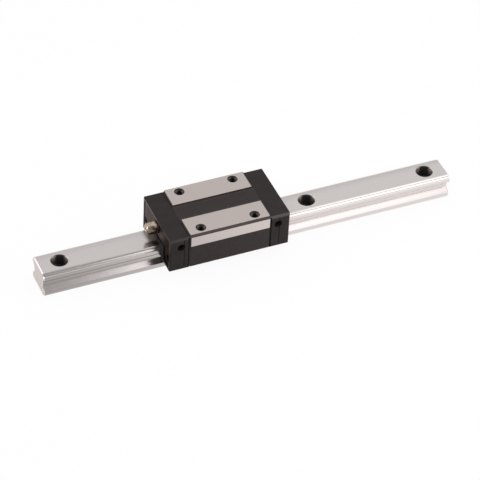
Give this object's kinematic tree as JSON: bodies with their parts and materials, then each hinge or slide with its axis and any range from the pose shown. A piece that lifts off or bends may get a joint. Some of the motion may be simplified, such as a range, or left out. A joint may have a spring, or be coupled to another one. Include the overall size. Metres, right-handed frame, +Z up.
{
  "type": "linear guide rail",
  "caption": "Straight profile rail with counterbored bolt holes, and a low square recirculating-ball carriage with tapped holes, end caps and a grease nipple that slides along it.",
  "frame": {"origin": "centre of the rail's underside", "axes": "+X along the rail away from the nipple end, +Y across the rail, +Z up out of the mounting face"},
  "size_m": [0.2, 0.034, 0.024],
  "materials": {
    "ground_rail_steel": "ground and polished, bright",
    "blackened_block_steel": "black oxide, with ground bare pads and side bands",
    "black_cap_plastic": "moulded, satin",
    "dark_seal_plate": "dark coated steel, satin",
    "seal_rubber": "smooth rubber",
    "retainer_plastic": "moulded",
    "guide_plastic": "moulded",
    "black_screw_steel": "black oxide",
    "nipple_brass": "turned, dull nickel over brass",
    "ball_steel": "polished",
    "spring_steel": "drawn wire"
  },
  "bodies": {
    "rail": {"guide_rail": "ground_rail_steel"},
    "carriage": {"carriage_block": "blackened_block_steel", "end_cap_left": "black_cap_plastic", "end_cap_right": "black_cap_plastic", "end_seal_plate_left": "dark_seal_plate", "end_seal_plate_right": "dark_seal_plate", "end_seal_lip_left": "seal_rubber", "end_seal_lip_right": "seal_rubber", "bottom_seal_near": "seal_rubber", "bottom_seal_far": "seal_rubber", "top_retainer": "retainer_plastic", "side_retainer_near": "retainer_plastic", "side_retainer_far": "retainer_plastic", "cap_screws_left": "black_screw_steel", "cap_screws_right": "black_screw_steel", "grease_port_plug": "black_screw_steel", "grease_nipple": "nipple_brass", "nipple_spring": "spring_steel", "ball_return_guide_left_near": "guide_plastic", "ball_return_guide_left_far": "guide_plastic", "ball_return_guide_right_near": "guide_plastic", "ball_return_guide_right_far": "guide_plastic", "ball_circuit_upper_near": "ball_steel", "ball_circuit_upper_far": "ball_steel", "ball_circuit_lower_near": "ball_steel", "ball_circuit_lower_far": "ball_steel"},
    "check_ball": {"nipple_check_ball": "ball_steel"}
  },
  "joints": [
    {"name": "carriage_slide", "type": "slide", "parent": "rail", "child": "carriage", "axis": [1, 0, 0], "range_m": [-0.056, 0.085]},
    {"name": "check_ball_press", "type": "slide", "parent": "carriage", "child": "check_ball", "axis": [1, 0, 0], "range_m": [0, 0.0004], "stiffness_N_per_m": 200, "deforming": ["nipple_spring"]}
  ]
}
